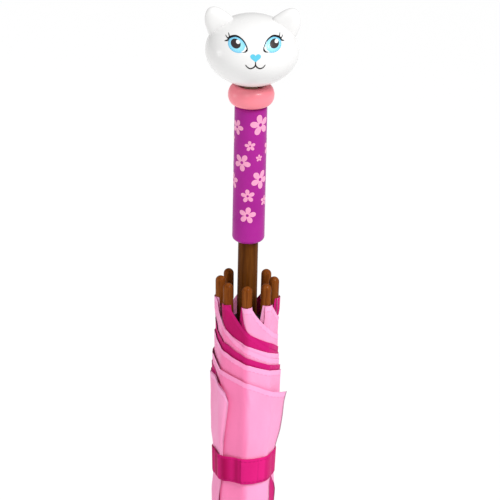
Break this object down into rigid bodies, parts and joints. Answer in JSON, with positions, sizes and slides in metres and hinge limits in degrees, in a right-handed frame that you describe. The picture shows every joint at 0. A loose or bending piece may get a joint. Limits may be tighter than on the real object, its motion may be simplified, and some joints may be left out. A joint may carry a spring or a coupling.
{
  "type": "children's umbrella",
  "caption": "Child's stick umbrella, rolled and strapped, with a two-colour canopy and a carved cat's head on a painted handle; it opens on its runner.",
  "frame": {"origin": "foot of the ferrule, on the shaft's axis", "axes": "+Z along the shaft to the handle; the cat's face looks to -Y; +X to the right of the face as seen from the front"},
  "size_m": [0.058, 0.056, 0.6545],
  "materials": {
    "shaft_wood": "satin varnish",
    "tip_wood": "gloss varnish",
    "bare_wood": "bare",
    "handle_paint": "gloss lacquer on wood",
    "collar_paint": "gloss lacquer on wood",
    "head_paint": "gloss lacquer on wood",
    "frame_steel": "nickel plated",
    "bright_steel": "drawn wire",
    "fitting_plastic": "moulded",
    "canopy_light": "woven polyester",
    "canopy_dark": "woven polyester",
    "strap_satin": "satin"
  },
  "bodies": {
    "root": {"shaft": "shaft_wood", "ferrule": "tip_wood", "top_cap": "tip_wood", "crown": "fitting_plastic", "crown_wire": "bright_steel", "stop_pin": "bright_steel", "catch_pins": "bright_steel", "handle": "handle_paint", "collar_ring": "collar_paint", "neck_dowel": "bare_wood", "head": "head_paint", "ear_left": "head_paint", "ear_right": "head_paint"},
    "runner": {"runner": "fitting_plastic", "runner_wire": "bright_steel"},
    "top_catch": {"top_catch": "bright_steel"},
    "bottom_catch": {"bottom_catch": "bright_steel"},
    "strap_tab": {"strap_tab": "strap_satin"},
    "rib_1": {"rib_1": "frame_steel", "rib_tip_1": "tip_wood", "rivet_1": "bright_steel", "strap": "strap_satin", "strap_pad": "strap_satin"},
    "stretcher_1": {"stretcher_1": "frame_steel"},
    "gore_1": {"gore_1": "canopy_light"},
    "rib_2": {"rib_2": "frame_steel", "rib_tip_2": "tip_wood", "rivet_2": "bright_steel"},
    "stretcher_2": {"stretcher_2": "frame_steel"},
    "gore_2": {"gore_2": "canopy_dark"},
    "rib_3": {"rib_3": "frame_steel", "rib_tip_3": "tip_wood", "rivet_3": "bright_steel"},
    "stretcher_3": {"stretcher_3": "frame_steel"},
    "gore_3": {"gore_3": "canopy_light"},
    "rib_4": {"rib_4": "frame_steel", "rib_tip_4": "tip_wood", "rivet_4": "bright_steel"},
    "stretcher_4": {"stretcher_4": "frame_steel"},
    "gore_4": {"gore_4": "canopy_dark"},
    "rib_5": {"rib_5": "frame_steel", "rib_tip_5": "tip_wood", "rivet_5": "bright_steel"},
    "stretcher_5": {"stretcher_5": "frame_steel"},
    "gore_5": {"gore_5": "canopy_light"},
    "rib_6": {"rib_6": "frame_steel", "rib_tip_6": "tip_wood", "rivet_6": "bright_steel"},
    "stretcher_6": {"stretcher_6": "frame_steel"},
    "gore_6": {"gore_6": "canopy_dark"},
    "rib_7": {"rib_7": "frame_steel", "rib_tip_7": "tip_wood", "rivet_7": "bright_steel"},
    "stretcher_7": {"stretcher_7": "frame_steel"},
    "gore_7": {"gore_7": "canopy_light"},
    "rib_8": {"rib_8": "frame_steel", "rib_tip_8": "tip_wood", "rivet_8": "bright_steel"},
    "stretcher_8": {"stretcher_8": "frame_steel"},
    "gore_8": {"gore_8": "canopy_dark"}
  },
  "joints": [
    {"name": "rib_1_open", "type": "hinge", "parent": "root", "child": "rib_1", "pos_m": [0, -0.009, 0.044], "axis": [1, 0, 0], "range_deg": [0, 64.12], "deforming": ["gore_1", "gore_2", "gore_3", "gore_4", "gore_5", "gore_6", "gore_7", "gore_8", "strap", "strap_tab", "strap_pad", "bottom_catch", "top_catch"]},
    {"name": "rib_2_open", "type": "hinge", "parent": "root", "child": "rib_2", "pos_m": [0.00636, -0.00636, 0.044], "axis": [0.7071, 0.7071, 0], "range_deg": [0, 64.12]},
    {"name": "rib_3_open", "type": "hinge", "parent": "root", "child": "rib_3", "pos_m": [0.009, 0, 0.044], "axis": [0, 1, 0], "range_deg": [0, 64.12]},
    {"name": "rib_4_open", "type": "hinge", "parent": "root", "child": "rib_4", "pos_m": [0.00636, 0.00636, 0.044], "axis": [-0.7071, 0.7071, 0], "range_deg": [0, 64.12]},
    {"name": "rib_5_open", "type": "hinge", "parent": "root", "child": "rib_5", "pos_m": [0, 0.009, 0.044], "axis": [-1, 0, 0], "range_deg": [0, 64.12]},
    {"name": "rib_6_open", "type": "hinge", "parent": "root", "child": "rib_6", "pos_m": [-0.00636, 0.00636, 0.044], "axis": [-0.7071, -0.7071, 0], "range_deg": [0, 64.12]},
    {"name": "rib_7_open", "type": "hinge", "parent": "root", "child": "rib_7", "pos_m": [-0.009, 0, 0.044], "axis": [0, -1, 0], "range_deg": [0, 64.12]},
    {"name": "rib_8_open", "type": "hinge", "parent": "root", "child": "rib_8", "pos_m": [-0.00636, -0.00636, 0.044], "axis": [0.7071, -0.7071, 0], "range_deg": [0, 64.12]},
    {"name": "stretcher_1_fold", "type": "hinge", "parent": "rib_1", "child": "stretcher_1", "pos_m": [0, -0.01192, 0.23398], "axis": [1, 0, 0], "range_deg": [-128.24, 0]},
    {"name": "stretcher_2_fold", "type": "hinge", "parent": "rib_2", "child": "stretcher_2", "pos_m": [0.00843, -0.00843, 0.23398], "axis": [0.7071, 0.7071, 0], "range_deg": [-128.24, 0]},
    {"name": "stretcher_3_fold", "type": "hinge", "parent": "rib_3", "child": "stretcher_3", "pos_m": [0.01192, 0, 0.23398], "axis": [0, 1, 0], "range_deg": [-128.24, 0]},
    {"name": "stretcher_4_fold", "type": "hinge", "parent": "rib_4", "child": "stretcher_4", "pos_m": [0.00843, 0.00843, 0.23398], "axis": [-0.7071, 0.7071, 0], "range_deg": [-128.24, 0]},
    {"name": "stretcher_5_fold", "type": "hinge", "parent": "rib_5", "child": "stretcher_5", "pos_m": [0, 0.01192, 0.23398], "axis": [-1, 0, 0], "range_deg": [-128.24, 0]},
    {"name": "stretcher_6_fold", "type": "hinge", "parent": "rib_6", "child": "stretcher_6", "pos_m": [-0.00843, 0.00843, 0.23398], "axis": [-0.7071, -0.7071, 0], "range_deg": [-128.24, 0]},
    {"name": "stretcher_7_fold", "type": "hinge", "parent": "rib_7", "child": "stretcher_7", "pos_m": [-0.01192, 0, 0.23398], "axis": [0, -1, 0], "range_deg": [-128.24, 0]},
    {"name": "stretcher_8_fold", "type": "hinge", "parent": "rib_8", "child": "stretcher_8", "pos_m": [-0.00843, -0.00843, 0.23398], "axis": [0.7071, -0.7071, 0], "range_deg": [-128.24, 0]},
    {"name": "runner_slide", "type": "hinge", "parent": "stretcher_1", "child": "runner", "pos_m": [0, -0.009, 0.42396], "axis": [1, 0, 0], "range_deg": [0, 64.12]},
    {"name": "gore_1_spread", "type": "hinge", "parent": "rib_1", "child": "gore_1", "pos_m": [0.00373, -0.009, 0.044], "axis": [-0.3312, 0.7997, -0.5008], "range_deg": [0, 46.88]},
    {"name": "gore_2_spread", "type": "hinge", "parent": "rib_2", "child": "gore_2", "pos_m": [0.009, -0.00373, 0.044], "axis": [-0.7997, 0.3312, -0.5008], "range_deg": [0, 46.88]},
    {"name": "gore_3_spread", "type": "hinge", "parent": "rib_3", "child": "gore_3", "pos_m": [0.009, 0.00373, 0.044], "axis": [-0.7997, -0.3312, -0.5008], "range_deg": [0, 46.88]},
    {"name": "gore_4_spread", "type": "hinge", "parent": "rib_4", "child": "gore_4", "pos_m": [0.00373, 0.009, 0.044], "axis": [-0.3312, -0.7997, -0.5008], "range_deg": [0, 46.88]},
    {"name": "gore_5_spread", "type": "hinge", "parent": "rib_5", "child": "gore_5", "pos_m": [-0.00373, 0.009, 0.044], "axis": [0.3312, -0.7997, -0.5008], "range_deg": [0, 46.88]},
    {"name": "gore_6_spread", "type": "hinge", "parent": "rib_6", "child": "gore_6", "pos_m": [-0.009, 0.00373, 0.044], "axis": [0.7997, -0.3312, -0.5008], "range_deg": [0, 46.88]},
    {"name": "gore_7_spread", "type": "hinge", "parent": "rib_7", "child": "gore_7", "pos_m": [-0.009, -0.00373, 0.044], "axis": [0.7997, 0.3312, -0.5008], "range_deg": [0, 46.88]},
    {"name": "gore_8_spread", "type": "hinge", "parent": "rib_8", "child": "gore_8", "pos_m": [-0.00373, -0.009, 0.044], "axis": [0.3312, 0.7997, -0.5008], "range_deg": [0, 46.88]},
    {"name": "bottom_catch_press", "type": "hinge", "parent": "root", "child": "bottom_catch", "pos_m": [0, 0, 0.40196], "axis": [-0.9239, -0.3827, 0], "range_deg": [-4.5, 0], "stiffness_Nm_per_rad": 2.5, "springref_deg": 1.15},
    {"name": "top_catch_press", "type": "hinge", "parent": "root", "child": "top_catch", "pos_m": [0, 0, 0.27659], "axis": [-0.9239, -0.3827, 0], "range_deg": [0, 4.5], "stiffness_Nm_per_rad": 2.5, "springref_deg": -1.15},
    {"name": "strap_tab_peel", "type": "hinge", "parent": "rib_1", "child": "strap_tab", "pos_m": [0.00907, -0.01859, 0.362], "axis": [0, 0, 1], "range_deg": [0, 110]}
  ],
  "couplings": [
    {"joint": "rib_2_open", "follows": "rib_1_open", "ratio": 1},
    {"joint": "rib_3_open", "follows": "rib_1_open", "ratio": 1},
    {"joint": "rib_4_open", "follows": "rib_1_open", "ratio": 1},
    {"joint": "rib_5_open", "follows": "rib_1_open", "ratio": 1},
    {"joint": "rib_6_open", "follows": "rib_1_open", "ratio": 1},
    {"joint": "rib_7_open", "follows": "rib_1_open", "ratio": 1},
    {"joint": "rib_8_open", "follows": "rib_1_open", "ratio": 1},
    {"joint": "stretcher_1_fold", "follows": "rib_1_open", "ratio": -2},
    {"joint": "stretcher_2_fold", "follows": "rib_1_open", "ratio": -2},
    {"joint": "stretcher_3_fold", "follows": "rib_1_open", "ratio": -2},
    {"joint": "stretcher_4_fold", "follows": "rib_1_open", "ratio": -2},
    {"joint": "stretcher_5_fold", "follows": "rib_1_open", "ratio": -2},
    {"joint": "stretcher_6_fold", "follows": "rib_1_open", "ratio": -2},
    {"joint": "stretcher_7_fold", "follows": "rib_1_open", "ratio": -2},
    {"joint": "stretcher_8_fold", "follows": "rib_1_open", "ratio": -2},
    {"joint": "runner_slide", "follows": "rib_1_open", "ratio": 1},
    {"joint": "gore_1_spread", "follows": "rib_1_open", "ratio": 0.73114},
    {"joint": "gore_2_spread", "follows": "rib_1_open", "ratio": 0.73114},
    {"joint": "gore_3_spread", "follows": "rib_1_open", "ratio": 0.73114},
    {"joint": "gore_4_spread", "follows": "rib_1_open", "ratio": 0.73114},
    {"joint": "gore_5_spread", "follows": "rib_1_open", "ratio": 0.73114},
    {"joint": "gore_6_spread", "follows": "rib_1_open", "ratio": 0.73114},
    {"joint": "gore_7_spread", "follows": "rib_1_open", "ratio": 0.73114},
    {"joint": "gore_8_spread", "follows": "rib_1_open", "ratio": 0.73114}
  ]
}
